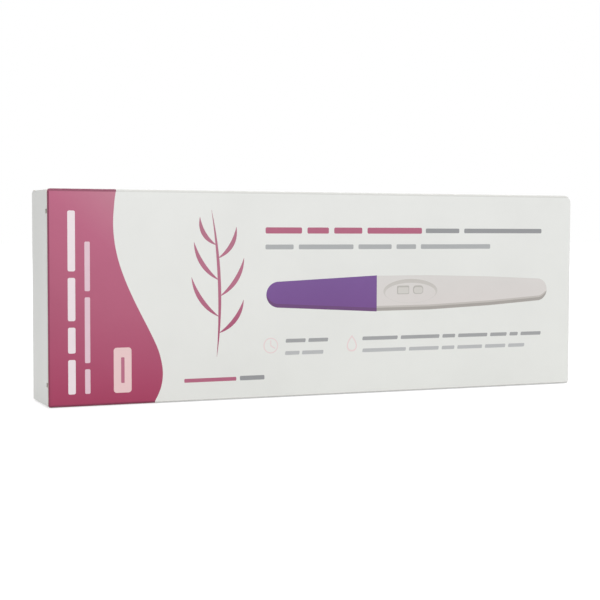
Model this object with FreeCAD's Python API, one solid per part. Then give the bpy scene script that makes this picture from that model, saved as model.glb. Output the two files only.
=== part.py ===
"""Closed tuck-end folding carton for one home pregnancy test, with its sealed pouch and leaflet.

Frame: +X along the carton to its right end, +Y from the front panel to the back panel, +Z up.
The origin is the middle of the bottom panel's outer face. All sizes are millimetres.
"""

import FreeCAD
import Part
import math
import os

from FreeCAD import Vector

# Closed carton
length = 168.0  # outer face of one end lid to the other
depth = 21.0  # outer face of the front panel to the back panel
height = 60.0  # outer face of the bottom panel to the top panel
board = 0.4  # thickness of the folding board
fold_radius = 0.7  # outer radius of a creased fold
worn_corner_radius = 2.5  # the top right corner is rounded by wear

# Glued seam at the lower back edge
glue_flap_width = 12.0
glue_flap_taper = 7.0  # each end of the glue flap runs in by this much at its free edge
glue_flap_end_room = 1.0  # between the glue flap and the panel's end
seam_gap = 0.2  # the back panel's cut edge stops this far above the carton's base

# End lids and tuck flaps
hinge_gap = 0.07  # between a lid's rounded hinge edge and the panel that it hangs on
lid_gap = 0.3  # a lid is this much lower than the carton at its top and at its bottom
lid_fold_radius = 0.8  # outer radius of the fold between lid and tuck flap
slit_length = 5.6  # lock slit from each end of that fold, measured from the carton's edge
notch_length = 1.2  # small open notch where a slit meets the fold
tuck_gap = 0.25  # between a tuck flap and the panel that it slides behind
tuck_length = 11.0
tuck_taper = 2.0  # each side of the tuck flap runs in by this much towards its tip
tuck_corner_radius = 4.0

# Dust flaps
flap_gap = 0.1  # between a lid and the dust flaps under it
flap_length = 22.0
flap_side_gap = 0.1  # beside the fold of a dust flap
flap_tuck_gap = 0.6  # between a dust flap's edge and the tuck flap that passes it
flap_shoulder_gap = 0.3  # the lock shoulder is this much shorter than the slit
flap_taper = 3.0  # the edge beside the tuck flap runs in by this much towards the tip
flap_corner_radius = 3.0

# Sealed pouch with the test stick, standing on the bottom panel
pouch_end_room = 3.0  # between the pouch and the dust flaps
pouch_top_room = 17.5  # between the pouch and the top panel
pouch_film = 0.4  # both films together, where they are sealed
pouch_end_seal = 9.0  # flat margin at each end
pouch_side_seal = 3.0  # flat margin along the top and the base
pouch_bulge = 8.8  # thickness over the stick's cap
pouch_slim_bulge = 6.4  # thickness over the stick's far end
pouch_back_gap = 0.8  # between the pouch's bulge and the back panel
tear_notch = 1.5  # depth of the tear notch in the left end seal

# Folded leaflet, standing on the bottom panel behind the front panel
leaflet_end_room = 3.0  # from the left tuck flap's tip
leaflet_right_room = 24.0  # from the right dust flaps
leaflet_top_room = 8.0  # between the leaflet and the top panel
leaflet_layers = 6
paper = 0.12
paper_gap = 0.13  # between two layers
leaflet_front_gap = 0.25  # between the leaflet and the front panel

# Positions worked out from the sizes above
left = -length / 2
front = -depth / 2
back = depth / 2
panel_end = left + board + hinge_gap  # where the four panels end on the left
hinge = Vector(left + board / 2, back - board / 2, 0)  # axis of the left lid
tuck_face = front + board + tuck_gap  # outer face of the left tuck flap at its fold
lid_fold = Vector(left + lid_fold_radius, tuck_face + lid_fold_radius, 0)  # centre of that fold
tuck_radius = hinge.distanceToPoint(lid_fold) + lid_fold_radius  # outer radius of the curled flap
tuck_tip = lid_fold.x + tuck_length  # the left tuck flap ends before this line
flap_face = left + board + flap_gap  # outer face of a left dust flap
flap_back = flap_face + board  # inner face of a left dust flap
wide_side = depth / 2 - fold_radius  # half the flat width of a panel between two folds
narrow_side = wide_side - board  # the same towards the glued seam


def in_plan(u, v):
    """A point of a plan seen from above: u along X, v along Y."""
    return Vector(u, v, 0)


def in_section(u, v):
    """A point of a section across the carton: u along Y, v along Z."""
    return Vector(0, u, v)


def in_elevation(u, v):
    """A point of a view of the front: u along X, v along Z."""
    return Vector(u, 0, v)


def face_of(edges):
    """The flat face inside a closed chain of edges."""
    return Part.Face(Part.Wire(Part.__sortEdges__(edges)))


def line(place, start, end):
    """A straight edge between two points of a drawing."""
    return Part.makeLine(place(*start), place(*end))


def arc(place, centre, radius, start_angle, end_angle):
    """An arc of a drawing, its angles in degrees."""
    points = []
    for angle in (start_angle, (start_angle + end_angle) / 2, end_angle):
        turn = math.radians(angle)
        points.append(place(centre[0] + radius * math.cos(turn), centre[1] + radius * math.sin(turn)))
    return Part.Arc(*points).toShape()


def outline(place, corners, radii):
    """A face with straight sides between corners, each corner rounded by its own radius."""
    count = len(corners)
    starts, ends, edges = [], [], []
    for i in range(count):
        here = Vector(*corners[i], 0)
        to_last = (Vector(*corners[i - 1], 0) - here).normalize()
        to_next = (Vector(*corners[(i + 1) % count], 0) - here).normalize()
        half = to_last.getAngle(to_next) / 2
        reach = radii[i] / math.tan(half)
        starts.append(here + to_last * reach)
        ends.append(here + to_next * reach)
        if radii[i] > 0:
            centre = here + (to_last + to_next).normalize() * (radii[i] / math.sin(half))
            middle = centre + (here - centre).normalize() * radii[i]
            points = [place(point.x, point.y) for point in (starts[i], middle, ends[i])]
            edges.append(Part.Arc(*points).toShape())
    for i in range(count):
        start, end = ends[i], starts[(i + 1) % count]
        edges.append(line(place, (start.x, start.y), (end.x, end.y)))
    return face_of(edges)


def block(x, y, z):
    """A box between pairs of values."""
    size = [pair[1] - pair[0] for pair in (x, y, z)]
    return Part.makeBox(*size, Vector(x[0], y[0], z[0]))


def one_solid(shape):
    """The single solid of a fused shape, without seams across its flat faces."""
    return shape.removeSplitter().Solids[0]


def half_turn(shape):
    """A copy of a left end piece, turned about the vertical to fit the right end."""
    turned = shape.copy()
    turned.rotate(Vector(0, 0, 0), Vector(0, 0, 1), 180)
    return turned


def upside_down(shape):
    """A copy of an upper piece, mirrored to the carton's base."""
    return shape.mirror(Vector(0, 0, height / 2), Vector(0, 0, 1))


def wrapped_section(corners):
    """Section of the board wrapped round square corners, its outer face passing through them."""
    points = [Vector(*corner, 0) for corner in corners]
    inner_radius = fold_radius - board
    edges = []
    last = None
    for i, here in enumerate(points):
        step = max(i, 1)
        along = (points[step] - points[step - 1]).normalize()
        inward = Vector(-along.y, along.x, 0)
        if i in (0, len(points) - 1):
            arrive = leave = (here, here + inward * board)
            edges.append(line(in_section, (here.x, here.y), (arrive[1].x, arrive[1].y)))
        else:
            centre = here + (inward - along) * fold_radius
            start_angle = math.degrees(math.atan2(-inward.y, -inward.x))
            for radius in (fold_radius, inner_radius):
                place = (centre.x, centre.y)
                edges.append(arc(in_section, place, radius, start_angle, start_angle + 90))
            arrive = (centre - inward * fold_radius, centre - inward * inner_radius)
            leave = (centre + along * fold_radius, centre + along * inner_radius)
        if last:
            for start, end in zip(last, arrive):
                edges.append(line(in_section, (start.x, start.y), (end.x, end.y)))
        last = leave
    return face_of(edges)


def wrapped_sheet(corners):
    """A sheet as long as the panels, wrapped round square corners."""
    sheet = wrapped_section(corners).extrude(Vector(-2 * panel_end, 0, 0))
    sheet.translate(Vector(panel_end, 0, 0))
    return sheet


def panels():
    """The back, top, front and bottom panels, up to the fold of the glue flap."""
    corners = [(back, seam_gap), (back, height), (front, height), (front, 0)]
    corners.append((back - board - fold_radius, 0))
    return wrapped_sheet(corners)


def glue_flap():
    """The flap folded up from the bottom panel and glued inside the back panel, its ends tapered."""
    inside = back - board
    start = inside - fold_radius - board
    fold = wrapped_sheet([(start, 0), (inside, 0), (inside, fold_radius + board)])
    end = -panel_end - glue_flap_end_room
    low = fold_radius + board / 2
    high_end = end - glue_flap_taper
    corners = [(-end, low), (end, low), (high_end, glue_flap_width), (-high_end, glue_flap_width)]
    flap = outline(in_elevation, corners, [0, 0, 1, 1]).extrude(Vector(0, -board, 0))
    flap.translate(Vector(0, inside, 0))
    return fold.fuse(flap)


def dust_flap(radius, front_side, back_side):
    """The left end's upper dust flap, folded down from the top panel with that outer radius."""
    start = flap_face + radius
    rise = height - radius
    tip = height - flap_length
    edges = [
        arc(in_elevation, (start, rise), radius, 180, 90),
        arc(in_elevation, (start, rise), radius - board, 180, 90),
        line(in_elevation, (start, height), (start, height - board)),
        line(in_elevation, (flap_face, rise), (flap_face, tip)),
        line(in_elevation, (flap_back, rise), (flap_back, tip)),
        line(in_elevation, (flap_face, tip), (flap_back, tip)),
    ]
    strip = face_of(edges).extrude(Vector(0, depth, 0))
    strip.translate(Vector(0, front, 0))
    shoulder = height - slit_length + flap_shoulder_gap
    tuck_side = tuck_face + board + flap_tuck_gap
    near, far = flap_side_gap - front_side, back_side - flap_side_gap
    corners = [
        (near, height + 1),
        (near, shoulder),
        (tuck_side, shoulder),
        (tuck_side + flap_taper, tip),
        (far, tip),
        (far, height + 1),
    ]
    shape = outline(in_section, corners, [0, 0, 0, flap_corner_radius, flap_corner_radius, 0])
    shape.translate(Vector(left, 0, 0))
    return strip.common(shape.extrude(Vector(start - left + 1, 0, 0)))


def flap_relief(radius, front_side, back_side):
    """The part of the top panel's left end that an upper dust flap's fold takes."""
    low = height - fold_radius - board
    return block((left, flap_face + radius), (-front_side, back_side), (low, height + 1))


def worn_off():
    """What wear has taken off the four panels at the top right corner."""
    end = -panel_end
    near, far = end - worn_corner_radius, end + 1
    low = height - worn_corner_radius
    corner = block((near, far), (front - 1, back + 1), (low, height + 1))
    start = Vector(near, front - 2, low)
    return corner.cut(Part.makeCylinder(worn_corner_radius, depth + 4, start, Vector(0, 1, 0)))


def carton_sleeve():
    """The folded and glued sheet: four panels, the glue flap and the four dust flaps."""
    upper_left = (fold_radius, wide_side, wide_side)
    lower_left = (fold_radius, wide_side, narrow_side)
    upper_right = (worn_corner_radius, wide_side, wide_side)
    lower_right = (fold_radius, narrow_side, wide_side)
    reliefs = [
        flap_relief(*upper_left),
        upside_down(flap_relief(*lower_left)),
        half_turn(flap_relief(*upper_right)),
        half_turn(upside_down(flap_relief(*lower_right))),
    ]
    flaps = [
        dust_flap(*upper_left),
        upside_down(dust_flap(*lower_left)),
        half_turn(dust_flap(*upper_right)),
        half_turn(upside_down(dust_flap(*lower_right))),
    ]
    sleeve = panels().fuse(glue_flap())
    sleeve = sleeve.cut(reliefs + [worn_off()])
    return one_solid(sleeve.fuse(flaps))


def lid_plate(hinge_corner_radius):
    """The left lid's flat panel, half round along its hinge edge, with an ear beside each slit."""
    inside = left + board
    edges = [
        arc(in_plan, (hinge.x, hinge.y), board / 2, 180, 0),
        line(in_plan, (inside, hinge.y), (inside, tuck_face)),
        line(in_plan, (inside, tuck_face), (left, tuck_face)),
        line(in_plan, (left, tuck_face), (left, hinge.y)),
    ]
    plate = face_of(edges).extrude(Vector(0, 0, height))
    low, high = lid_gap, height - lid_gap
    slit_low, slit_high = slit_length, height - slit_length
    corners = [
        (tuck_face, low),
        (back, low),
        (back, high),
        (tuck_face, high),
        (tuck_face, slit_high),
        (lid_fold.y, slit_high),
        (lid_fold.y, slit_low),
        (tuck_face, slit_low),
    ]
    shape = outline(in_section, corners, [0, 0, hinge_corner_radius, 0, 0, 0, 0, 0])
    shape.translate(Vector(left - 1, 0, 0))
    return plate.common(shape.extrude(Vector(board + 2, 0, 0)))


def tuck_flap():
    """The left tuck flap, curled about the lid's hinge axis so that it slides out without rubbing."""
    inside = left + board
    centre = (lid_fold.x, lid_fold.y)
    axis = (hinge.x, hinge.y)
    start = 360 + math.degrees(math.atan2(lid_fold.y - hinge.y, lid_fold.x - hinge.x))
    end = start + math.degrees(tuck_length / tuck_radius)
    turn = math.radians(end)
    tips = []
    edges = [line(in_plan, (left, lid_fold.y), (inside, lid_fold.y))]
    for fold, curl in ((lid_fold_radius, tuck_radius), (lid_fold_radius - board, tuck_radius - board)):
        edges.append(arc(in_plan, centre, fold, 180, start))
        edges.append(arc(in_plan, axis, curl, start, end))
        tips.append((axis[0] + curl * math.cos(turn), axis[1] + curl * math.sin(turn)))
    edges.append(line(in_plan, *tips))
    flap = face_of(edges).extrude(Vector(0, 0, height))
    tip = max(point[0] for point in tips)
    low, high = slit_length + notch_length, height - slit_length - notch_length
    corners = [
        (left - 1, low),
        (lid_fold.x, low),
        (tip, low + tuck_taper),
        (tip, high - tuck_taper),
        (lid_fold.x, high),
        (left - 1, high),
    ]
    shape = outline(in_elevation, corners, [0, 0, tuck_corner_radius, tuck_corner_radius, 0, 0])
    shape.translate(Vector(0, front, 0))
    return flap.common(shape.extrude(Vector(0, depth, 0)))


def tuck_lid(hinge_corner_radius):
    """The left end lid. The upper corner beside its hinge has that radius."""
    return one_solid(lid_plate(hinge_corner_radius).fuse(tuck_flap()))


def smooth_step(value):
    """Rises gently from 0 to 1 between those values."""
    value = min(max(value, 0.0), 1.0)
    return value * value * (3 - 2 * value)


def foil_pouch():
    """The sealed pouch, filled out by the stick inside it, with a tear notch."""
    end = -flap_back - pouch_end_room
    low, high = board, height - board - pouch_top_room
    middle = (low + high) / 2
    full_length = 2 * (end - pouch_end_seal)
    half_fill = (high - low) / 2 - pouch_side_seal
    lie = back - board - pouch_back_gap - pouch_bulge / 2
    columns, rows = 36, 15
    sides = []
    for side in (-1, 1):
        grid = []
        for i in range(columns + 1):
            x = -end + 2 * end * i / columns
            run = (x + full_length / 2) / full_length
            ends = smooth_step(run / 0.16) * smooth_step((1 - run) / 0.16)
            thick = pouch_bulge + (pouch_slim_bulge - pouch_bulge) * smooth_step((run - 0.2) / 0.6)
            row = []
            for j in range(rows + 1):
                z = low + (high - low) * j / rows
                across = smooth_step((half_fill - abs(z - middle)) / half_fill * 1.25)
                rise = pouch_film / 2 + (thick - pouch_film) / 2 * ends * across
                row.append(Vector(x, lie + side * rise, z))
            grid.append(row)
        surface = Part.BSplineSurface()
        surface.interpolate(grid)
        sides.append(surface.toShape())
    corners = [(-end, low), (end, low), (end, high), (-end, high)]
    faces = list(sides)
    for i in range(4):
        here, after = corners[i], corners[(i + 1) % 4]
        points = []
        for corner, side in ((here, -1), (after, -1), (after, 1), (here, 1)):
            points.append(Vector(corner[0], lie + side * pouch_film / 2, corner[1]))
        faces.append(Part.Face(Part.makePolygon(points + [points[0]])))
    shell = Part.Shell(faces)
    shell.sewShape()
    pouch = Part.Solid(shell)
    tear = [(-end - 1, middle - 1), (-end + tear_notch, middle), (-end - 1, middle + 1)]
    notch = outline(in_elevation, tear, [0, 0, 0]).extrude(Vector(0, 2, 0))
    notch.translate(Vector(0, lie - 1, 0))
    return pouch.cut(notch).Solids[0]


def instruction_leaflet():
    """One sheet of paper folded to and fro along the carton."""
    pitch = paper + paper_gap
    near = front + board + leaflet_front_gap
    turn = (pitch + paper) / 2
    low, high = board + turn, height - board - leaflet_top_room - turn
    edges = []
    for i in range(leaflet_layers):
        faces = (near + i * pitch, near + i * pitch + paper)
        for y in faces:
            edges.append(line(in_section, (y, low), (y, high)))
        if i < leaflet_layers - 1:
            upward = i % 2 == 0
            centre = (near + i * pitch + paper + paper_gap / 2, high if upward else low)
            for radius in (paper_gap / 2, paper_gap / 2 + paper):
                edges.append(arc(in_section, centre, radius, 180, 0 if upward else 360))
    last = near + (leaflet_layers - 1) * pitch
    for y, z in ((near, low), (last, high if leaflet_layers % 2 else low)):
        edges.append(line(in_section, (y, z), (y + paper, z)))
    start = tuck_tip + leaflet_end_room
    end = -flap_back - leaflet_right_room
    leaflet = face_of(edges).extrude(Vector(end - start, 0, 0))
    leaflet.translate(Vector(start, 0, 0))
    return leaflet


def main():
    """Builds every piece and writes one STEP file for each."""
    pieces = {
        "carton_sleeve": carton_sleeve(),
        "left_tuck_lid": tuck_lid(0),
        "right_tuck_lid": half_turn(tuck_lid(worn_corner_radius)),
        "foil_pouch": foil_pouch(),
        "instruction_leaflet": instruction_leaflet(),
    }
    os.makedirs("parts", exist_ok=True)
    for name, shape in pieces.items():
        shape.exportStep(f"parts/{name}.step")


main()
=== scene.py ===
import math

import bpy
import mathutils
from mathutils import Matrix, Vector


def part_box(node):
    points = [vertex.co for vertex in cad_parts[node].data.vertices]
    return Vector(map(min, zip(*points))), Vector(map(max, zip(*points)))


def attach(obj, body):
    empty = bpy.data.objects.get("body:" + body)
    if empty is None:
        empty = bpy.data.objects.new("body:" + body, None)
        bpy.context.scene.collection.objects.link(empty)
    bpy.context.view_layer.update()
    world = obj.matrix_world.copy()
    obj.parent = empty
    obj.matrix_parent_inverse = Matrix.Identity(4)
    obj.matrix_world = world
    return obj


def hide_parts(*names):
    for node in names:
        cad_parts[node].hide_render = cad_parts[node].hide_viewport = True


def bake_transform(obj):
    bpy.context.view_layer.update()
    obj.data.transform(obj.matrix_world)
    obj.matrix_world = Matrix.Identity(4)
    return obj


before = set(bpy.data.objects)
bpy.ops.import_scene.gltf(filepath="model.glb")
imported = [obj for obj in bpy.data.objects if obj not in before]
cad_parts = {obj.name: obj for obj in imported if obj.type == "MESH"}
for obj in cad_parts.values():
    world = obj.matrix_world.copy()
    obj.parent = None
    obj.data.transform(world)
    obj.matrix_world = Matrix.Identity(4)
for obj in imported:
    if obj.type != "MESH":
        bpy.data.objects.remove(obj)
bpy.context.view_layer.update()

# Sizes in millimetres, the same as the carton's own
MM = 0.001
LENGTH, DEPTH, HEIGHT = 168.0, 21.0, 60.0
BOARD = 0.4
FOLD = 0.7
LEFT, FRONT, BACK = -LENGTH / 2, -DEPTH / 2, DEPTH / 2
PANEL_END = 83.53
FREE_END = 84.0  # the front panel at the left and the back panel at the right, where no lid hangs
LID_GAP = 0.3
LID_FOLD = 0.8
SLIT, NOTCH, CUT = 5.6, 1.2, 0.9  # CUT is how far a notch reaches into the lid
TUCK_FACE = FRONT + BOARD + 0.25
TUCK_LENGTH = 11.0
HINGE = (LEFT + BOARD / 2, BACK - BOARD / 2)
FLAP_START = 82.8
FLAP_TIP = 22.0
SEAM_GAP = 0.2
GLUE_FLAP = 12.0
CREASE_END = 1.5  # the creased strip at a hinge reaches this far each way from the corner
WORN = 2.3  # size of the corner rounded by wear
PANEL_HOLLOW, TOP_HOLLOW, LID_HOLLOW = 0.16, 0.12, 0.5  # how far the board is bowed in at mid-panel
FLAP_PUSH = 0.75  # how far a lid holds the tip of a dust flap in
BAND = 19.2  # width of the magenta on the top, the base and the back
BLEED = 0.6  # ink shapes reach this far past the board's cut edge


def linear(hex_colour):
    """An sRGB hex colour as linear RGBA."""
    parts = [int(hex_colour[i:i + 2], 16) / 255 for i in (1, 3, 5)]
    return [c / 12.92 if c <= 0.04045 else ((c + 0.055) / 1.055) ** 2.4 for c in parts] + [1.0]


def add(tree, kind, settings=None, **links):
    """Adds a node. Settings are its properties; links give its inputs by name, as sockets or values."""
    node = tree.nodes.new(kind)
    for key, value in (settings or {}).items():
        setattr(node, key, value)
    for key, value in links.items():
        socket = node.inputs[int(key[1:])] if key[0] == "_" else node.inputs[key.replace("_", " ")]
        if isinstance(value, bpy.types.NodeSocket):
            tree.links.new(value, socket)
        else:
            socket.default_value = value
    return node


def product(tree, a, b):
    """The product of two sockets."""
    return add(tree, "ShaderNodeMath", {"operation": "MULTIPLY"}, _0=a, _1=b).outputs[0]


def new_material(name):
    """An empty node material, its tree and its shader."""
    material = bpy.data.materials.new(name)
    material.use_nodes = True
    tree = material.node_tree
    shader = tree.nodes["Principled BSDF"]
    return material, tree, shader


def ramp(node, stops):
    """Sets a colour ramp's stops, as pairs of place and hex colour."""
    elements = node.color_ramp.elements
    while len(elements) > 1:
        elements.remove(elements[-1])
    for i, (place, colour) in enumerate(stops):
        element = elements[0] if i == 0 else elements.new(place)
        element.position = place
        element.color = linear(colour)
    return node


# painted fold shade: the white board darkened along its folds, more at the top fold than at the base
PAINTED_FOLD_SHADE_WHITE = [(0.3, "#f3f3ef"), (0.7, "#cdcdc9")]


def board_surface(name, stops, roughness=0.38, crease=PAINTED_FOLD_SHADE_WHITE, rub=0.25, mottle=0.02, slant=0.0):
    """Clay-coated folding board with a satin water-based varnish, printed or bare.

    Offset ink on the clay coat is smooth and slightly uneven over centimetres. The varnish gives a soft
    sheen. Along a crease the colour is darkened: painted fold shade. The fold's crest is rubbed pale
    in places. The stops of the ink and of the painted fold shade run up the carton. With a slant the
    ink's stops lie closer together towards the right.
    """
    material, tree, shader = new_material(name)
    place = add(tree, "ShaderNodeTexCoord").outputs["Object"]
    split = add(tree, "ShaderNodeSeparateXYZ", Vector=place)
    up = add(tree, "ShaderNodeMapRange", None, Value=split.outputs["Z"], From_Max=HEIGHT * MM)
    across = add(tree, "ShaderNodeMapRange", None, Value=split.outputs["X"], From_Min=LEFT * MM,
                 From_Max=(LEFT + 18) * MM, To_Min=1.0 - slant, To_Max=1.0)
    rise = product(tree, up.outputs[0], across.outputs[0])
    tone = ramp(add(tree, "ShaderNodeValToRGB", Fac=rise), stops)
    # the board's formation: cloudy patches about 25 mm across
    cloud = add(tree, "ShaderNodeTexNoise", Vector=place, Scale=40.0, Detail=3.0, Roughness=0.5)
    uneven = add(tree, "ShaderNodeMapRange", None, Value=cloud.outputs[0], From_Min=0.3, From_Max=0.7,
                 To_Min=1.0 - mottle, To_Max=1.0 + mottle)
    colour = add(tree, "ShaderNodeVectorMath", {"operation": "SCALE"}, _0=tone.outputs[0],
                 Scale=uneven.outputs[0]).outputs[0]
    # how near a point is to the four long folds: first the band of painted fold shade, then the crest
    middle = add(tree, "ShaderNodeMath", {"operation": "SUBTRACT"}, _0=split.outputs["Z"],
                 _1=HEIGHT * MM / 2)
    away = add(tree, "ShaderNodeMath", {"operation": "ABSOLUTE"}, _0=middle.outputs[0])
    aside = add(tree, "ShaderNodeMath", {"operation": "ABSOLUTE"}, _0=split.outputs["Y"])

    def near_fold(start, full, most):
        """0 from start millimetres off the folds' outer corners, and most from full on."""
        ease = {"interpolation_type": "SMOOTHSTEP"}
        high = add(tree, "ShaderNodeMapRange", ease, Value=away.outputs[0], To_Max=most,
                   From_Min=(HEIGHT / 2 - start) * MM, From_Max=(HEIGHT / 2 - full) * MM)
        wide = add(tree, "ShaderNodeMapRange", ease, Value=aside.outputs[0],
                   From_Min=(DEPTH / 2 - start) * MM, From_Max=(DEPTH / 2 - full) * MM)
        return product(tree, high.outputs[0], wide.outputs[0])

    # painted fold shade: the crease stops, mixed in near the folds
    painted_fold_shade = ramp(add(tree, "ShaderNodeValToRGB", Fac=up.outputs[0]), crease)
    colour = add(tree, "ShaderNodeMix", {"data_type": "RGBA"}, _0=near_fold(0.9, 0.5, 0.9), _6=colour,
                 _7=painted_fold_shade.outputs[0]).outputs[2]
    patch = add(tree, "ShaderNodeTexNoise", Vector=place, Scale=420.0, Detail=4.0, Roughness=0.7)
    patchy = add(tree, "ShaderNodeMapRange", None, Value=patch.outputs[0], From_Min=0.46, From_Max=0.6)
    rubbing = product(tree, near_fold(0.42, 0.25, rub), patchy.outputs[0])
    colour = add(tree, "ShaderNodeMix", {"data_type": "RGBA"}, _0=rubbing, _6=colour,
                 _7=linear("#e9e9e6")).outputs[2]
    tree.links.new(colour, shader.inputs["Base Color"])
    # paper fibres under the coat, drawn at 0.9 mm, coarser than the real 0.1 mm so that they show
    fibre = add(tree, "ShaderNodeTexNoise", Vector=place, Scale=1100.0, Detail=2.0, Roughness=0.6)
    relief = add(tree, "ShaderNodeBump", Height=fibre.outputs[0], Strength=0.05, Distance=0.0001)
    tree.links.new(relief.outputs[0], shader.inputs["Normal"])
    sheen = add(tree, "ShaderNodeMapRange", None, Value=fibre.outputs[0], From_Min=0.3, From_Max=0.7,
                To_Min=roughness - 0.04, To_Max=roughness + 0.04)
    tree.links.new(sheen.outputs[0], shader.inputs["Roughness"])
    shader.inputs["IOR"].default_value = 1.5
    shader.inputs["Specular IOR Level"].default_value = 0.35
    return material


def plain_board(name, dark, light, grain_scale, roughness):
    """Uncoated board, matt and slightly fibrous, as on the reverse side and the cut edges."""
    material, tree, shader = new_material(name)
    place = add(tree, "ShaderNodeTexCoord").outputs["Object"]
    fibre = add(tree, "ShaderNodeTexNoise", Vector=place, Scale=grain_scale, Detail=4.0, Roughness=0.65)
    tone = ramp(add(tree, "ShaderNodeValToRGB", Fac=fibre.outputs[0]), [(0.3, dark), (0.7, light)])
    tree.links.new(tone.outputs[0], shader.inputs["Base Color"])
    relief = add(tree, "ShaderNodeBump", Height=fibre.outputs[0], Strength=0.15, Distance=0.0001)
    tree.links.new(relief.outputs[0], shader.inputs["Normal"])
    shader.inputs["Roughness"].default_value = roughness
    shader.inputs["Specular IOR Level"].default_value = 0.3
    return material


def foil_laminate():
    """Aluminium foil laminated in clear polyester: a soft metal sheen broken by fine crumples."""
    material, tree, shader = new_material("foil_laminate")
    place = add(tree, "ShaderNodeTexCoord").outputs["Object"]
    crumple = add(tree, "ShaderNodeTexVoronoi", {"feature": "DISTANCE_TO_EDGE"}, Vector=place,
                  Scale=120.0)
    ripple = add(tree, "ShaderNodeTexNoise", Vector=place, Scale=260.0, Detail=4.0, Roughness=0.6)
    height = add(tree, "ShaderNodeMath", {"operation": "MULTIPLY_ADD"}, _0=crumple.outputs[0], _1=0.6,
                 _2=ripple.outputs[0])
    # the heat seal's fine ribs, 1.2 mm apart, on the outer margin of the pouch
    split = add(tree, "ShaderNodeSeparateXYZ", Vector=place)
    rib = add(tree, "ShaderNodeTexWave", {"bands_direction": "X"}, Vector=place, Scale=260.0)
    end = add(tree, "ShaderNodeMath", {"operation": "ABSOLUTE"}, _0=split.outputs["X"])
    seal = add(tree, "ShaderNodeMapRange", None, Value=end.outputs[0], From_Min=0.0715, From_Max=0.0725)
    surface = add(tree, "ShaderNodeMix", {"data_type": "FLOAT"}, _0=seal.outputs[0],
                  _2=height.outputs[0], _3=rib.outputs[1])
    relief = add(tree, "ShaderNodeBump", Height=surface.outputs[0], Strength=0.5, Distance=0.0003)
    tree.links.new(relief.outputs[0], shader.inputs["Normal"])
    tone = ramp(add(tree, "ShaderNodeValToRGB", Fac=ripple.outputs[0]),
                [(0.3, "#c3c6ca"), (0.7, "#dcdee1")])
    tree.links.new(tone.outputs[0], shader.inputs["Base Color"])
    shader.inputs["Metallic"].default_value = 0.85
    shader.inputs["Roughness"].default_value = 0.3
    return material


def leaflet_paper():
    """Thin uncoated paper with rows of broken grey bars: small print that looks grey from afar."""
    material, tree, shader = new_material("leaflet_paper")
    place = add(tree, "ShaderNodeTexCoord").outputs["Object"]
    split = add(tree, "ShaderNodeSeparateXYZ", Vector=place)
    # rows every 1.6 mm, 0.7 mm high
    row = add(tree, "ShaderNodeMath", {"operation": "MODULO"}, _0=split.outputs["Z"], _1=1.6 * MM)
    in_row = add(tree, "ShaderNodeMath", {"operation": "LESS_THAN"}, _0=row.outputs[0], _1=0.7 * MM)
    # bars a few millimetres long
    stretched = add(tree, "ShaderNodeMapping", None, Vector=place, Scale=(520.0, 0.0, 640.0))
    word = add(tree, "ShaderNodeTexNoise", Vector=stretched.outputs[0], Scale=1.0, Detail=0.0)
    in_word = add(tree, "ShaderNodeMath", {"operation": "GREATER_THAN"}, _0=word.outputs[0], _1=0.44)
    amount = product(tree, product(tree, in_row.outputs[0], in_word.outputs[0]), 0.45)
    colour = add(tree, "ShaderNodeMix", {"data_type": "RGBA"}, _0=amount, _6=linear("#f1f1ec"),
                 _7=linear("#4c4c50"))
    tree.links.new(colour.outputs[2], shader.inputs["Base Color"])
    fibre = add(tree, "ShaderNodeTexNoise", Vector=place, Scale=900.0, Detail=3.0)
    relief = add(tree, "ShaderNodeBump", Height=fibre.outputs[0], Strength=0.1, Distance=0.0001)
    tree.links.new(relief.outputs[0], shader.inputs["Normal"])
    shader.inputs["Roughness"].default_value = 0.85
    return material


WHITE = [(0.0, "#e6e7e3"), (1.0, "#e8e9e6")]
MAGENTA = [(0.0, "#a2385b"), (0.2, "#ab4d6c"), (0.43, "#b25c78"), (0.72, "#b96481"), (0.87, "#be728a"),
           (1.0, "#c17e91")]
# painted shade for the magenta: its colour along the folds and along the cut edge beside the lid
PAINTED_SHADE_MAGENTA = [(0.0, "#87334f"), (0.4, "#8f405c"), (1.0, "#7e3650")]


def one_tone(colour):
    """The stops of an even ink."""
    return [(0.0, colour), (1.0, colour)]


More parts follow.
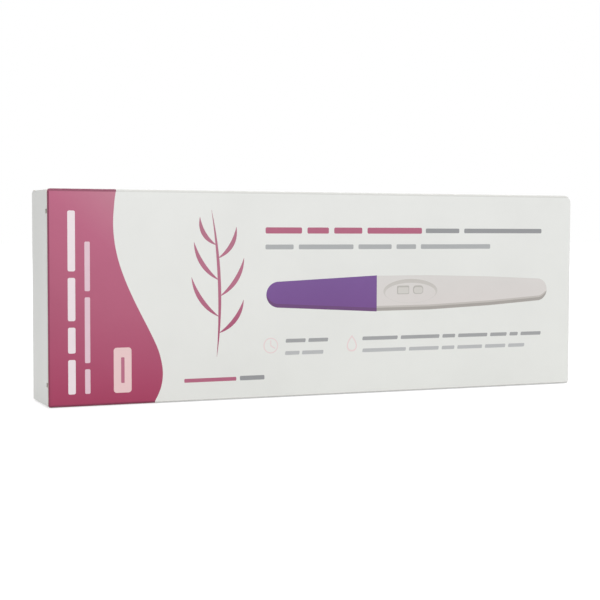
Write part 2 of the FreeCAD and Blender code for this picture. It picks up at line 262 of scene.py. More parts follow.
finishes = {
    "coat": board_surface("coated_board_white", WHITE),
    "inside": plain_board("board_reverse_side", "#dcdad2", "#e8e6df", 700.0, 0.75),
    "edge": plain_board("board_cut_edge", "#cfcbc2", "#e2dfd8", 2600.0, 0.85),
    # the field runs from deep magenta at the base to rose at the top right, with painted shade along
    # its folds
    "field": board_surface("magenta_offset_ink", MAGENTA, crease=PAINTED_SHADE_MAGENTA, rub=0.1, mottle=0.03,
                           slant=0.28),
    # painted shade: a dark band of the field along the cut edge beside the lid
    "field_rim": board_surface("magenta_painted_shade_at_cut_edge", PAINTED_SHADE_MAGENTA, crease=PAINTED_SHADE_MAGENTA,
                               rub=0.1),
    # bars of bare or lightly tinted coat in the field, and a pale pink badge
    "white_words": board_surface("white_knockout_bold", one_tone("#eee2e6")),
    "pale_words": board_surface("white_knockout_light", one_tone("#e2c5d0")),
    "badge": board_surface("pale_pink_ink", one_tone("#eacaca")),
    "badge_words": board_surface("badge_word_ink", one_tone("#b76d85")),
    # soft bars of heading and caption ink, paler where the print is fine
    "title": board_surface("magenta_title_ink", one_tone("#b3657f")),
    "dark": board_surface("dark_grey_title_ink", one_tone("#97989a")),
    "grey": board_surface("grey_title_ink", one_tone("#aeb0b1")),
    "caption": board_surface("dark_caption_ink", one_tone("#a2a3a4")),
    "soft_caption": board_surface("grey_caption_ink", one_tone("#b9babb")),
    # rose line work, and icons so faint that they only show close by
    "sprig": board_surface("rose_sprig_ink", [(0.25, "#a4476b"), (0.55, "#b56d86"), (0.95, "#b27488")]),
    "icon": board_surface("faint_rose_line_ink", one_tone("#e8d5d5")),
    # the pictured stick: a violet cap, and a warm grey body shaded along its lower edge
    "cap": board_surface("violet_ink", [(0.4, "#744c8c"), (0.6, "#7a5696")], mottle=0.03),
    "cap_shade": board_surface("deep_violet_ink", one_tone("#6c4778")),
    "stick": board_surface("warm_grey_ink", [(0.4, "#dad4d1"), (0.6, "#dbd8d5")]),
    "stick_shade": board_surface("shadow_grey_ink", one_tone("#a8a39e")),
    "stick_turn": board_surface("half_shadow_grey_ink", one_tone("#c3beb9")),
    "recess": board_surface("recess_grey_ink", [(0.47, "#d3cfcb"), (0.53, "#c9c5c0")]),
    "window": board_surface("window_grey_ink", one_tone("#bcb8b3")),
    "pane": board_surface("pane_grey_ink", one_tone("#d2cfca")),
}


def trace(start, heading, runs):
    """A line through the board's outer face: straight runs, and left bends as (radius, degrees)."""
    path, s = [], 0.0
    x, y = start
    angle = math.radians(heading)
    for run in runs:
        inward = (-math.sin(angle), math.cos(angle))
        if isinstance(run, tuple):
            radius, turn = run[0], math.radians(run[1])
            centre = (x + inward[0] * radius, y + inward[1] * radius)
            path.append((s, s + radius * turn, radius, centre, angle))
            s += radius * turn
            angle += turn
            x, y = centre[0] + math.sin(angle) * radius, centre[1] - math.cos(angle) * radius
        else:
            path.append((s, s + run, None, (x, y), angle))
            s += run
            x, y = x + math.cos(angle) * run, y + math.sin(angle) * run
    return path


def along(path, s, deep):
    """The point at s along a path, that far into the board from its outer face."""
    for start, end, radius, base, angle in path:
        if s <= end or end == path[-1][1]:
            step = s - start
            if radius:
                way, reach = angle + step / radius, radius - deep
                return base[0] + math.sin(way) * reach, base[1] - math.cos(way) * reach
            return (base[0] + math.cos(angle) * step - math.sin(angle) * deep,
                    base[1] + math.sin(angle) * step + math.cos(angle) * deep)


GIRTH = trace((BACK, SEAM_GAP), 90, [
    HEIGHT - FOLD - SEAM_GAP, (FOLD, 90), DEPTH - 2 * FOLD, (FOLD, 90), HEIGHT - 2 * FOLD, (FOLD, 90),
    DEPTH - BOARD - 2 * FOLD, (FOLD, 90), GLUE_FLAP - FOLD])
V_BACK = GIRTH[0][1]
V_TOP, V_TOP_END = GIRTH[2][0], GIRTH[2][1]
V_FRONT, V_FRONT_END = GIRTH[4][0], GIRTH[4][1]
V_BASE, V_BASE_END = GIRTH[6][0], GIRTH[6][1]
V_GLUE, V_END = GIRTH[8][0], GIRTH[8][1]
FLAP = trace((-FLAP_START, HEIGHT), 180, [(FOLD, 90), FLAP_TIP - FOLD])
FLAP_END = FLAP[-1][1]
SHOULDER = FLAP[1][0] + SLIT - 0.3 - FOLD


def hump(a, b):
    """1 in the middle of a panel and 0 at its edges, for a and b from -1 to 1."""
    a, b = min(abs(a), 1.0), min(abs(b), 1.0)
    return (1 - a * a) ** 2 * (1 - b * b) ** 2


def worn(x, y, z):
    """The top right corner softened by wear: a square corner drawn in to a round one."""
    a, b = x - (LENGTH / 2 - WORN), z - (HEIGHT - WORN)
    if a > 0 and b > 0:
        shrink = max(a, b) / math.hypot(a, b)
        x, z = x - a * (1 - shrink), z - b * (1 - shrink)
    return Vector((x, y, z)) * MM


def place_sleeve(u, v, deep):
    """Where a point of the sleeve's flat blank lies on the closed carton."""
    y, z = along(GIRTH, v, deep)
    x = u
    over = abs(u) - FLAP_START
    on_top = V_TOP + 0.05 < v < V_TOP_END - 0.05
    on_base = V_BASE + 0.05 < v < V_BASE_END - 0.05
    if over > 0 and (on_top or on_base):
        y, _ = along(GIRTH, v, 0)
        out, high = along(FLAP, over, deep)
        out += FLAP_PUSH * max(0.0, over - FOLD) / FLAP_TIP
        x = out if u < 0 else -out
        z = high if on_top else HEIGHT - high
    else:
        # the panels are a touch hollow between their folds
        a = 2 * u / LENGTH
        if V_FRONT <= v <= V_FRONT_END:
            y += PANEL_HOLLOW * hump(a, 2 * z / HEIGHT - 1)
        elif v <= V_BACK:
            y -= PANEL_HOLLOW * hump(a, 2 * z / HEIGHT - 1)
        elif V_TOP <= v <= V_TOP_END:
            z -= TOP_HOLLOW * hump(a, 2 * y / DEPTH)
        elif v > V_GLUE:
            y -= 0.02
    return worn(x, y, z)


def rounded(points, radii, steps=5):
    """A polygon with some corners rounded."""
    out = []
    for i, point in enumerate(points):
        radius = radii.get(i, 0)
        if not radius:
            out.append(point)
            continue
        here, last, after = Vector(point), Vector(points[i - 1]), Vector(points[(i + 1) % len(points)])
        a, b = (last - here).normalized(), (after - here).normalized()
        half = a.angle(b) / 2
        centre = here + (a + b).normalized() * radius / math.sin(half)
        trim = radius / math.tan(half)
        start, end = here + a * trim - centre, here + b * trim - centre
        for k in range(steps + 1):
            spoke = start.lerp(end, k / steps).normalized() * radius
            out.append(tuple(centre + spoke))
    return out


def flap_outline(side, v_tuck, v_far):
    """The flat outline of a dust flap from its tuck side to its far side, as (u, v) points."""
    inward = 1 if v_far > v_tuck else -1
    flat = DEPTH / 2 - FOLD
    tuck = TUCK_FACE + LID_FOLD + CUT + flat
    reach = lambda s: side * (FLAP_START + s)
    gap = 0.1 * inward
    points = [
        (reach(0), v_tuck), (reach(0), v_tuck + gap), (reach(SHOULDER), v_tuck + gap),
        (reach(SHOULDER), v_tuck + tuck * inward), (reach(FLAP_END), v_tuck + (tuck + 3) * inward),
        (reach(FLAP_END), v_far - gap), (reach(0), v_far - gap), (reach(0), v_far),
    ]
    return rounded(points, {4: 3.0, 5: 3.0})


def sleeve_outline():
    """The outline of the sleeve's flat blank."""
    crease = LENGTH / 2 - CREASE_END
    glue = [(PANEL_END, V_GLUE + 0.2), (PANEL_END - 1, V_GLUE + 0.2), (PANEL_END - 8, V_END)]
    left = [(-crease, 0), (-crease, V_BACK), (-PANEL_END, V_BACK), (-PANEL_END, V_TOP)]
    left += flap_outline(-1, V_TOP_END, V_TOP)[::-1]
    left += [(-PANEL_END, V_TOP_END), (-FREE_END, V_FRONT), (-FREE_END, V_FRONT_END),
             (-PANEL_END, V_BASE)]
    left += flap_outline(-1, V_BASE, V_BASE_END)
    left += [(-PANEL_END, V_BASE_END)] + [(-x, v) for x, v in glue]
    right = [(FREE_END, 0), (FREE_END, V_BACK), (PANEL_END, V_TOP)]
    right += flap_outline(1, V_TOP, V_TOP_END)
    right += [(PANEL_END, V_TOP_END), (PANEL_END, V_FRONT), (crease, V_FRONT), (crease, V_FRONT_END)]
    right += [(PANEL_END, V_FRONT_END), (PANEL_END, V_BASE)]
    right += flap_outline(1, V_BASE_END, V_BASE)[::-1]
    right += [(PANEL_END, V_BASE_END)] + glue
    return left + right[::-1]


def inside(point, polygon):
    """True if a point lies inside a polygon."""
    x, y = point
    found = False
    for i, (ax, ay) in enumerate(polygon):
        bx, by = polygon[i - 1]
        if (ay > y) != (by > y) and x < (bx - ax) * (y - ay) / (by - ay) + ax:
            found = not found
    return found


def board_piece(name, outline, place, shapes=(), lines=(), spots=(), deep=BOARD):
    """A closed mesh of the board: a flat blank cut up along its print and folds, then put in place.

    shapes are (finish, polygon) pairs, later ones on top. lines are extra cuts, spots extra points.
    """
    points, cuts = [], []
    for polygon in [outline] + [shape for _, shape in shapes]:
        first = len(points)
        points += [Vector(p) for p in polygon]
        cuts += [(first + i, first + (i + 1) % len(polygon)) for i in range(len(polygon))]
    for start, end in lines:
        cuts.append((len(points), len(points) + 1))
        points += [Vector(start), Vector(end)]
    points += [Vector(p) for p in spots]
    flat, _, faces, _, _, _ = mathutils.geometry.delaunay_2d_cdt(points, cuts, [], 0, 1e-4)
    boxes = []
    for finish, polygon in shapes:
        xs, ys = [p[0] for p in polygon], [p[1] for p in polygon]
        boxes.append((finish, polygon, min(xs), max(xs), min(ys), max(ys)))
    kept, inks = [], []
    for face in faces:
        centre = sum((flat[i] for i in face), Vector((0, 0))) / len(face)
        if not inside(centre, outline):
            continue
        ink = "coat"
        for finish, polygon, x0, x1, y0, y1 in boxes:
            if x0 <= centre.x <= x1 and y0 <= centre.y <= y1 and inside(centre, polygon):
                ink = finish
        kept.append(list(face))
        inks.append(ink)
    used = sorted({i for face in kept for i in face})
    index = {old: new for new, old in enumerate(used)}
    count = len(used)
    flat = [flat[i] for i in used]
    outer = [place(p.x, p.y, 0) for p in flat]
    inner = [place(p.x, p.y, deep) for p in flat]

    def slopes(p, depth):
        """The surface's normal at a point of the blank, from its neighbours."""
        e = 0.02
        along_u = place(p.x + e, p.y, depth) - place(p.x - e, p.y, depth)
        along_v = place(p.x, p.y + e, depth) - place(p.x, p.y - e, depth)
        return along_u.cross(along_v).normalized()

    rims = {}
    tops, bottoms = [], []
    for face in kept:
        a, b, c = (index[i] for i in face)
        normal = (outer[b] - outer[a]).cross(outer[c] - outer[a])
        if normal.dot(outer[a] - inner[a]) < 0:
            b, c = c, b
        tops.append((a, b, c))
        bottoms.append((a + count, c + count, b + count))
        for pair in ((a, b), (b, c), (c, a)):
            rims[pair] = rims.get(pair, 0) + 1
    walls = [(b, a, a + count, b + count) for a, b in rims if (b, a) not in rims]
    mesh = bpy.data.meshes.new(name)
    mesh.from_pydata(outer + inner, [], tops + bottoms + walls)
    names = ["coat", "inside", "edge"] + sorted(set(inks) - {"coat"})
    for key in names:
        mesh.materials.append(finishes[key])
    kinds = [names.index(ink) for ink in inks] + [1] * len(bottoms) + [2] * len(walls)
    mesh.polygons.foreach_set("material_index", kinds)
    mesh.update()
    normals = []
    shading = {}
    for polygon in mesh.polygons:
        for vertex in polygon.vertices:
            if len(polygon.vertices) == 4:
                normals.append(polygon.normal.copy())
                continue
            if vertex not in shading:
                shading[vertex] = slopes(flat[vertex % count], 0 if vertex < count else deep)
            normal = shading[vertex]
            normals.append(normal if normal.dot(polygon.normal) > 0 else -normal)
    mesh.polygons.foreach_set("use_smooth", [True] * len(mesh.polygons))
    mesh.normals_split_custom_set(normals)
    piece = bpy.data.objects.new(name, mesh)
    bpy.context.scene.collection.objects.link(piece)
    return piece


def on_front(x, y):
    """A point of the front print, from the front's top left corner, as a point of the blank."""
    return (LEFT + x, V_FRONT + y - FOLD)


def front_shape(points):
    """A polygon of the front print."""
    return [on_front(*point) for point in points]


def bar(x, y, wide, high, radius=0.0):
    """A rectangle of print from its top left corner, with rounded corners."""
    points = [(x, y), (x + wide, y), (x + wide, y + high), (x, y + high)]
    return rounded(points, {i: radius for i in range(4)} if radius else {}, 3)


def word_bars(start, end, base, high, words, upward=False, lean=0.0):
    """A line of soft bars from start to end, standing on base. words are the bars' relative lengths."""
    gap = 0.75
    step = (end - start) / (sum(words) + gap * (len(words) - 1))
    place, shapes = start, []
    for word in words:
        a, b = place, place + word * step
        corners = [(a, 0), (b, 0), (b + lean * high, high), (a + lean * high, high)]
        corners = rounded(corners, {i: high * 0.22 for i in range(4)}, 3)
        if upward:
            shapes.append(front_shape([(base - h, along_it) for along_it, h in corners]))
        else:
            shapes.append(front_shape([(along_it, base - h) for along_it, h in corners]))
        place += (word + gap) * step
    return shapes


def ribbon(points, widths):
    """A tapered stroke through points, that wide at each."""
    sides = [[], []]
    for i, point in enumerate(points):
        here = Vector(point)
        run = Vector(points[min(i + 1, len(points) - 1)]) - Vector(points[max(i - 1, 0)])
        across = Vector((-run.y, run.x)).normalized() * widths[i] / 2
        sides[0].append(tuple(here + across))
        sides[1].append(tuple(here - across))
    return front_shape(sides[0] + sides[1][::-1])


def blade(root, tip, bend, wide, steps=14):
    """A slim curved leaf blade from root to tip, bowed sideways by bend."""
    root, tip = Vector(root), Vector(tip)
    across = Vector((-(tip - root).y, (tip - root).x)).normalized()
    points, widths = [], []
    for i in range(steps + 1):
        t = i / steps
        points.append(tuple(root.lerp(tip, t) + across * bend * 4 * t * (1 - t)))
        widths.append(max(wide * math.sin(math.pi * t) ** 0.8, 0.06))
    return ribbon(points, widths)


def ellipse(x, y, rx, ry, steps=32):
    """An ellipse of print."""
    turns = [2 * math.pi * i / steps for i in range(steps)]
    return front_shape([(x + rx * math.cos(turn), y + ry * math.sin(turn)) for turn in turns])


def ring(x, y, radius, line, steps=28):
    """A thin ring as two shapes: the ink's disc and the bare board inside it."""
    inner = radius - line
    return [("icon", ellipse(x, y, radius, radius, steps)),
            ("coat", ellipse(x, y, inner, inner, steps))]


def drop(x, y, radius, steps=28):
    """A drop with its point at the top."""
    points = []
    for i in range(steps):
        turn = 2 * math.pi * i / steps
        points.append((x + 1.15 * radius * math.sin(turn) * math.sin(turn / 2),
                       y - 1.3 * radius * math.cos(turn)))
    return front_shape(points)


def field_outline():
    """The magenta field: a waved edge on the front, and straight bands over the top and the base."""
    waves = [(0, BAND), (3, 18.75), (9.5, 18.3), (15, 18.75), (20, 19.85), (25, 21.6), (30, 23.8),
             (35, 26.3), (40, 28.9), (45, 31.2), (49, 32.25), (52, 32.5), (55, 32.1), (57.5, 31.2),
             (HEIGHT - FOLD, 30.2)]  # down from the top, and across from the left
    edge = [(LEFT + waves[0][1], V_TOP)]
    end = -FLAP_START  # over the top and the base the ink stops before the dust flaps
    for i, (y, x) in enumerate(waves[:-1]):
        after = waves[i + 1]
        near, far = waves[max(i - 1, 0)], waves[min(i + 2, len(waves) - 1)]
        slope, slope_after = (after[1] - near[1]) / (after[0] - near[0]), (far[1] - x) / (far[0] - y)
        run = after[0] - y
        for k in range(4):
            t = k / 4
            curve = ((2 * t ** 3 - 3 * t ** 2 + 1) * x + (t ** 3 - 2 * t ** 2 + t) * run * slope
                     + (3 * t ** 2 - 2 * t ** 3) * after[1] + (t ** 3 - t ** 2) * run * slope_after)
            edge.append(on_front(curve, max(y + run * t, FOLD)))
    edge += [on_front(waves[-1][1], HEIGHT - FOLD), (LEFT + waves[-1][1], V_BASE_END)]
    return [(end, V_TOP)] + edge + [(end, V_BASE_END), (end, V_BASE), (LEFT - BLEED, V_FRONT_END),
                                    (LEFT - BLEED, V_FRONT), (end, V_TOP_END)]


def stick_outline(cap_lift, body_lift):
    """The pictured test stick's cap, and its tapering body. Lifts raise their lower edges."""
    joint, axis, half = 99.4, 30.0, 5.2
    cap, body = [(joint, axis - half - 0.1)], [(joint, axis - half)]
    for i in range(17):
        turn = math.radians(97 + 166 * i / 16)
        cap.append((67.7 + 3.9 * math.cos(turn), axis - 3.8 * math.sin(turn)))
    cap.append((joint, axis + half + 0.35))
    body += [(117.0, axis - half), (138.0, axis - half + 0.6)]
    for i in range(17):
        turn = math.radians(80 - 160 * i / 16)
        body.append((155.6 + 3.6 * math.cos(turn), axis - 0.3 - 3.5 * math.sin(turn)))
    body += [(138.0, axis + half - 0.8), (117.0, axis + half + 0.1), (joint, axis + half + 0.2)]
    shift = lambda shape, lift: front_shape([(x, y - lift * min(1, (y - axis) / 2) if y > axis else y)
                                             for x, y in shape])
    return shift(cap, cap_lift), shift(body, body_lift)


def front_print():
    """Every printed shape of the front panel, in the order in which they lie on each other."""
    shapes = [("field", field_outline())]
    # painted shade: the field darkened along the cut edge beside the lid
    rim = LEFT + 0.5
    shapes.append(("field_rim", [(LEFT - BLEED, V_FRONT), (rim, V_FRONT), (rim, V_FRONT_END),
                                 (LEFT - BLEED, V_FRONT_END)]))
    shapes += [("white_words", s) for s in word_bars(56.5, 6.0, 7.6, 2.1, [4, 3, 5, 7], upward=True)]
    shapes += [("pale_words", s) for s in word_bars(56.5, 14.5, 11.7, 1.5, [3, 8, 6], upward=True)]
    shapes.append(("badge", front_shape(bar(18.3, 44.0, 5.1, 12.6, 0.8))))
    shapes += [("badge_words", s) for s in word_bars(53.9, 46.7, 21.4, 1.0, [1], upward=True)]

    cap_edge, body_edge = stick_outline(0, 0)
    cap_face, body_turn = stick_outline(1.1, 0.95)
    body_face = stick_outline(0, 1.5)[1]
    shapes += [("cap_shade", cap_edge), ("stick_shade", body_edge), ("stick_turn", body_turn),
               ("cap", cap_face), ("stick", body_face)]
    # the finger recess with a shaded upper rim, and the two windows in it
    shapes += [("recess", ellipse(110.8, 29.6, 9.2, 3.7)), ("stick", ellipse(110.8, 30.1, 8.6, 3.05))]
    for x, wide, round_by in ((106.2, 4.1, 0.35), (111.6, 3.5, 0.9)):
        shapes.append(("window", front_shape(bar(x, 27.9, wide, 2.6, round_by))))
        shapes.append(("pane", front_shape(bar(x + 0.35, 28.4, wide - 0.55, 1.85, round_by * 0.8))))

    # headings and captions: finish, start, end, base line, height, bars, lean
    for finish, start, end, base, high, words, lean in (
            ("title", 63.5, 114.5, 12.2, 1.8, [5, 3, 4, 8], 0.0),
            ("dark", 115.8, 157.0, 12.0, 1.4, [5, 12], 0.0),
            ("grey", 63.5, 138.4, 16.8, 1.4, [4, 8, 5, 3, 11], 0.0),
            ("caption", 69.8, 83.3, 44.1, 1.1, [5, 5], 0.2),
            ("caption", 94.6, 157.0, 44.1, 1.1, [8, 9, 3, 7, 4, 2, 5], 0.2),
            ("soft_caption", 69.6, 81.8, 47.7, 1.1, [4, 6], 0.2),
            ("soft_caption", 94.6, 151.0, 47.7, 1.1, [10, 7, 3, 6, 5, 4], 0.2),
            ("title", 38.8, 54.5, 54.6, 1.1, [11], 0.0),
            ("dark", 55.6, 63.2, 54.6, 1.3, [5], 0.0)):
        shapes += [(finish, s) for s in word_bars(start, end, base, high, words, lean=lean)]

    shapes += ring(65.2, 44.8, 2.3, 0.32)
    hands = [(65.05, 43.3), (65.35, 43.3), (65.35, 44.7), (66.6, 45.5), (66.45, 45.8), (65.05, 44.95)]
    shapes.append(("icon", front_shape(hands)))
    shapes += [("icon", drop(91.2, 44.9, 1.9)), ("coat", drop(91.2, 45.0, 1.45))]
    shapes += sprig()
    return shapes


def sprig():
    """A plain sprig: a bowed stem with slim leaf blades on both sides, each rooted on the stem."""
    root, tip, bow = Vector((48.6, 47.5)), Vector((47.0, 5.5)), 1.6
    shapes = [("sprig", blade(root, tip, bow, 0.95))]
    across = Vector((-(tip - root).y, (tip - root).x)).normalized()
    for place, side, reach, rise in ((0.16, 1, 7.6, 9.5), (0.27, -1, 8.4, 11.5), (0.41, 1, 7.4, 11.0),
                                     (0.52, -1, 7.6, 11.0), (0.67, 1, 5.6, 9.0), (0.76, -1, 5.0, 8.0)):
        start = root.lerp(tip, place) + across * bow * 4 * place * (1 - place)
        shapes.append(("sprig", blade(start, start + Vector((side * reach, -rise)), side * 1.5, 1.35)))
    return shapes


def back_print():
    """The back's print: a plain band, and a heading with rows of soft bars under it."""
    band = LEFT + BAND
    shapes = [("field", [(LEFT + CREASE_END, 0), (band, 0), (band, V_TOP), (-FLAP_START, V_TOP),
                         (LEFT, V_TOP - 0.3), (LEFT, V_BACK), (LEFT + CREASE_END, V_BACK)])]

    def on_back(points):
        return [(LENGTH / 2 - x, HEIGHT - SEAM_GAP - y) for x, y in points]

    def row(x, y, high, words, finish, letter=1.35):
        for word in words:
            shapes.append((finish, on_back(bar(x, y, word * letter, high, high * 0.22))))
            x += (word + 0.75) * letter

    row(9, 9.0, 1.9, [8, 3, 6, 4], "title", 1.7)
    rows = ([7, 3, 9, 5, 8, 2, 6], [4, 8, 6, 3, 10, 5], [9, 2, 7, 6, 4, 8], [5, 10, 3, 8, 6, 4],
            [6, 4, 8, 3, 9])
    for i, words in enumerate(rows):
        row(9, 16.5 + 4.6 * i, 1.1, words, "soft_caption")
        row(77, 16.5 + 4.6 * i, 1.1, rows[(i + 2) % 5], "soft_caption")
    row(9, 45.5, 1.3, [6, 9], "dark")
    row(9, 50.0, 1.1, [4, 7, 5, 8], "soft_caption")
    return shapes


def fold_lines(breaks, low, high):
    """Cuts along the carton at those places of its girth."""
    return [((low, v), (high, v)) for v in breaks]


NET = [LENGTH / 2 - WORN - 0.1 + 0.3 * i for i in range(7)]  # cuts across the worn corner
RISE = [HEIGHT - WORN - 0.1 + 0.3 * i for i in range(8)]  # their heights on the lids


def sleeve_piece():
    """The folded sheet with its print."""
    breaks = []
    for start, end, radius, _, _ in GIRTH:
        if radius:
            breaks += [start - 0.4] + [start + (end - start) * k / 6 for k in range(7)] + [end + 0.4]
    lines = fold_lines(breaks, -PANEL_END, PANEL_END)
    bend = FLAP[0][1]
    for side in (-1, 1):
        for v0, v1 in ((V_TOP, V_TOP_END), (V_BASE, V_BASE_END)):
            for s in [bend * k / 6 for k in range(7)] + [bend + 0.4]:
                u = side * (FLAP_START + s)
                lines.append(((u, v0 + 0.1), (u, v1 - 0.1)))
    spots = [(-80.5 + 7 * i, v) for i in range(24) for v in
             [3 + 6.0 * k for k in range(10)] + [V_FRONT + 3.3 + 5.8 * k for k in range(10)]
             + [V_TOP + 4.9 * k for k in range(1, 4)] + [V_BASE + 4.8 * k for k in range(1, 4)]]
    # a close net at the worn corner, cut off from the large faces beside it
    lines += [((u, V_BACK - 2.6), (u, V_FRONT + 2.6)) for u in NET]
    beside = [v + way * k for v, way in ((V_BACK, -1), (V_FRONT, 1)) for k in (0.9, 1.4, 1.9, 2.6)]
    lines += fold_lines(beside, NET[0], PANEL_END)
    shapes = front_print() + back_print()
    return board_piece("carton_board", sleeve_outline(), place_sleeve, shapes, lines, spots)


sleeve = sleeve_piece()
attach(sleeve, "carton")
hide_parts("carton_sleeve")


SPAN = LENGTH / 2 - CREASE_END
LID_RUN = BACK - CREASE_END - (TUCK_FACE + LID_FOLD)
FOLD_CENTRE = (LEFT + LID_FOLD, TUCK_FACE + LID_FOLD)
SWING = math.dist(HINGE, FOLD_CENTRE) + LID_FOLD
FOLD_TURN = 90 + math.degrees(math.atan2(FOLD_CENTRE[0] - HINGE[0], HINGE[1] - FOLD_CENTRE[1]))
LID = trace((LEFT, BACK - CREASE_END), -90,
            [LID_RUN, (LID_FOLD, FOLD_TURN), (SWING, math.degrees(TUCK_LENGTH / SWING))])
HINGE_BEND = trace((-SPAN, BACK), 180, [CREASE_END - FOLD, (FOLD, 90), CREASE_END - FOLD])


def turned(x, y, z, end):
    """A left end point, or turned half round to the right end."""
    return worn(x, y, z) if end < 0 else worn(-x, -y, z)


def place_lid(end):
    """How the flat lid bends: straight to the fold, then round it into the curled tuck flap."""
    def place(s, z, deep):
        ear = z < SLIT + NOTCH / 2 or z > HEIGHT - SLIT - NOTCH / 2
        x, y = along(LID, s, deep)
        if ear and s > LID_RUN:
            x, y = LEFT + deep, BACK - CREASE_END - s
        elif s < LID_RUN:
            x += LID_HOLLOW * hump(2 * s / LID_RUN - 1, 2 * z / HEIGHT - 1)
        return turned(x, y, z, end)
    return place


def lid_piece(name, end):
    """An end lid with its ears and its tuck flap."""
    low, high = LID_GAP, HEIGHT - LID_GAP
    tip = LID[-1][1]
    bottom, top = SLIT + NOTCH, HEIGHT - SLIT - NOTCH
    ear, notch, bent = LID_RUN + LID_FOLD, LID_RUN - CUT, LID[1][1]
    points = [
        (0, low), (ear, low), (ear, SLIT), (notch, SLIT), (notch, bottom), (bent, bottom),
        (tip, bottom + 2), (tip, top - 2), (bent, top), (notch, top), (notch, HEIGHT - SLIT),
        (ear, HEIGHT - SLIT), (ear, high), (0, high),
    ]
    outline = rounded(points, {1: 0.6, 6: 4.0, 7: 4.0, 12: 0.6})
    bends = [LID_RUN + (bent - LID_RUN) * k / 8 for k in range(9)]
    bends += [bent + 1.1 * k for k in range(1, 10)]
    lines = [((s, bottom), (s, top)) for s in bends]
    lines.append(((LID_RUN - 0.4, low), (LID_RUN - 0.4, high)))
    lines += [((0, z), (ear, z)) for z in RISE if z < high]
    spots = [(1.8 + 2.05 * i, 2.5 + 5.0 * k) for i in range(8) for k in range(12)]
    return board_piece(name, outline, place_lid(end), (), lines, spots)


def crease_piece(name, end, low, high):
    """The creased strip of board in which a lid turns on its panel."""
    place = lambda s, z, deep: turned(*along(HINGE_BEND, s, deep), z, end)
    length = HINGE_BEND[-1][1]
    outline = [(0, low), (length, low), (length, high), (0, high)]
    bend = HINGE_BEND[1]
    lines = [((s, low), (s, high)) for s in [bend[0] + (bend[1] - bend[0]) * k / 8 for k in range(9)]]
    lines += [((0, z), (length, z)) for z in RISE if z < high]
    # at the left the back panel's band runs on to the middle of the fold
    mid = (bend[0] + bend[1]) / 2
    band = [("field", [(0, low), (mid, low), (mid, high), (0, high)])] if end < 0 else []
    return board_piece(name, outline, place, band, lines)


for side, end, foot in (("left", -1, LID_GAP), ("right", 1, FOLD)):
    lid = lid_piece(f"{side}_lid_board", end)
    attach(lid, f"{side}_lid")
    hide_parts(f"{side}_tuck_lid")
    crease = crease_piece(f"{side}_lid_crease", end, foot, HEIGHT - FOLD)
    start = Vector((LEFT + 1.1, BACK - 0.2, HEIGHT / 2)) * MM
    finish = Vector((LEFT + 0.2, BACK - 1.1, HEIGHT / 2)) * MM
    if end > 0:
        start, finish = (Vector((-p.x, -p.y, p.z)) for p in (start, finish))
    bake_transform(crease)


def pouch_piece():
    """The sealed pouch: flat ribbed ends, and a crumpled middle filled out by the stick."""
    low, high = (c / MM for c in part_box("foil_pouch"))
    end, foot, head = high.x - 0.1, low.z, high.z
    lie, film = 4.9, 0.2
    columns, rows = 150, 44
    middle, half = (foot + head) / 2, (head - foot) / 2
    half_fill, fill = half - 3.0, 2 * (end - 9.0)
    step = lambda t: (lambda c: c * c * (3 - 2 * c))(min(max(t, 0.0), 1.0))
    points = []
    for side in (-1, 1):
        for i in range(columns + 1):
            for j in range(rows + 1):
                x = -end + 2 * end * i / columns
                z = foot + 2 * half * j / rows
                run = (x + fill / 2) / fill
                ends = step(run / 0.16) * step((1 - run) / 0.16)
                thick = 8.4 - 2.4 * step((run - 0.2) / 0.6)
                across = step((half_fill - abs(z - middle)) / half_fill * 1.25)
                rise = film + (thick / 2 - film) * ends * across
                # folds that run from the bulge out to the seals
                slack = 4 * ends * across * (1 - ends * across) + 0.25 * ends * across
                crumple = mathutils.noise.noise(Vector((x * 0.16, side * 3.0, z * 0.1)))
                fine = mathutils.noise.noise(Vector((x * 0.5, side * 7.0, z * 0.35)))
                rise = max(rise + slack * (0.55 * crumple + 0.2 * fine), film)
                rim = abs(z - middle) / half
                if i in (0, columns) or j in (0, rows):
                    rise = film
                if i == 0:
                    x += max(0.0, 1.5 - 1.5 * abs(z - middle) / 1.0)
                sway = 0.25 * math.sin(x * 0.07) * (1 - ends) * rim
                points.append(Vector((x, lie + sway + side * rise, z)) * MM)
    faces = []
    size = (columns + 1) * (rows + 1)
    at = lambda side, i, j: side * size + i * (rows + 1) + j
    for i in range(columns):
        for j in range(rows):
            front = (at(0, i, j), at(0, i + 1, j), at(0, i + 1, j + 1), at(0, i, j + 1))
            faces += [front, tuple(index + size for index in reversed(front))]
    rim_loop = [(i, 0) for i in range(columns)] + [(columns, j) for j in range(rows)]
    rim_loop += [(columns - i, rows) for i in range(columns)] + [(0, rows - j) for j in range(rows)]
    for k, here in enumerate(rim_loop):
        after = rim_loop[(k + 1) % len(rim_loop)]
        faces.append((at(0, *after), at(0, *here), at(1, *here), at(1, *after)))
    mesh = bpy.data.meshes.new("sealed_pouch")
    mesh.from_pydata(points, [], faces)
    mesh.materials.append(foil_laminate())
    mesh.polygons.foreach_set("use_smooth", [True] * len(mesh.polygons))
    mesh.set_sharp_from_angle(angle=math.radians(50))
    piece = bpy.data.objects.new("sealed_pouch", mesh)
    bpy.context.scene.collection.objects.link(piece)
    return piece


pouch = pouch_piece()
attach(pouch, "carton")
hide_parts("foil_pouch")

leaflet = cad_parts["instruction_leaflet"]
leaflet.data.materials.clear()
leaflet.data.materials.append(leaflet_paper())


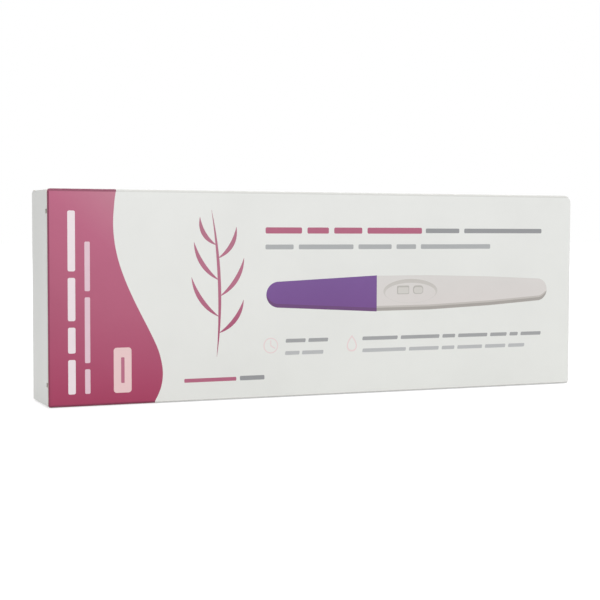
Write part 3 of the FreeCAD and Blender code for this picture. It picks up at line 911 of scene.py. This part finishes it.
def floor_piece():
    """A white floor: white to the camera, with a faint soft shadow where the carton stands."""
    material, tree, shader = new_material("studio_floor")
    output = tree.nodes["Material Output"]
    rays = add(tree, "ShaderNodeLightPath")
    seen = add(tree, "ShaderNodeMath", {"operation": "MAXIMUM"}, _0=rays.outputs["Is Camera Ray"],
               _1=rays.outputs["Is Glossy Ray"])
    seen = add(tree, "ShaderNodeMath", {"operation": "MAXIMUM"}, _0=seen.outputs[0],
               _1=rays.outputs["Is Transmission Ray"])
    glow = add(tree, "ShaderNodeEmission", None, Color=(1, 1, 1, 1),
               Strength=product(tree, seen.outputs[0], 0.72))
    matt = add(tree, "ShaderNodeBsdfDiffuse", None, Color=(0.42, 0.42, 0.42, 1))
    both = add(tree, "ShaderNodeAddShader", None, _0=glow.outputs[0], _1=matt.outputs[0])
    tree.links.new(both.outputs[0], output.inputs["Surface"])
    tree.nodes.remove(shader)
    mesh = bpy.data.meshes.new("studio_floor")
    size, down = 4.0, -0.0002
    corners = [(-size, -size, down), (size, -size, down), (size, size, down), (-size, size, down)]
    mesh.from_pydata(corners, [], [(0, 1, 2, 3)])
    mesh.materials.append(material)
    floor = bpy.data.objects.new("studio_floor", mesh)
    bpy.context.scene.collection.objects.link(floor)


def studio_light():
    """White surroundings and soft lamps, at the level where a colour renders about as it is written."""
    world = bpy.data.worlds.new("studio")
    bpy.context.scene.world = world
    world.use_nodes = True
    tree = world.node_tree
    background = tree.nodes["Background"]
    rays = add(tree, "ShaderNodeLightPath")
    level = add(tree, "ShaderNodeMapRange", None, Value=rays.outputs["Is Camera Ray"], To_Min=0.83)
    tree.links.new(level.outputs[0], background.inputs["Strength"])
    background.inputs["Color"].default_value = (1, 1, 1, 1)
    lamps = (("key_lamp", (-0.1, -1.5, 0.85), 1.2, 9.9), ("top_lamp", (0.5, -0.3, 1.6), 1.2, 5.0),
             ("back_lamp", (0.5, 1.5, 0.8), 1.2, 5.0))
    for name, place, size, power in lamps:
        data = bpy.data.lights.new(name, "AREA")
        data.shape = "DISK"
        data.size = size
        data.energy = power
        lamp = bpy.data.objects.new(name, data)
        lamp.location = place
        lamp.rotation_euler = (Vector((0, 0, 0.03)) - Vector(place)).to_track_quat("-Z", "Y").to_euler()
        bpy.context.scene.collection.objects.link(lamp)


def camera():
    """The photograph's viewpoint, in front and to the left, a little above the table."""
    yaw, pitch, roll = (math.radians(a) for a in (22.63, 2.98, 0.155))
    ahead = Vector((math.sin(yaw) * math.cos(pitch), math.cos(yaw) * math.cos(pitch), -math.sin(pitch)))
    across = Vector((math.cos(yaw), -math.sin(yaw), 0))
    above = across.cross(ahead)
    right = across * math.cos(roll) + above * math.sin(roll)
    up = above * math.cos(roll) - across * math.sin(roll)
    data = bpy.data.cameras.new("camera")
    data.lens = 80.5
    data.sensor_width = 36.0
    data.clip_start = 0.01
    view = bpy.data.objects.new("camera", data)
    bpy.context.scene.collection.objects.link(view)
    turn = Matrix((right, up, -ahead)).transposed().to_4x4()
    view.matrix_world = Matrix.Translation(Vector((-160.9, -373.3, 48.8)) * MM) @ turn
    bpy.context.scene.camera = view


floor_piece()
studio_light()
camera()
bpy.context.scene.view_settings.view_transform = "Standard"
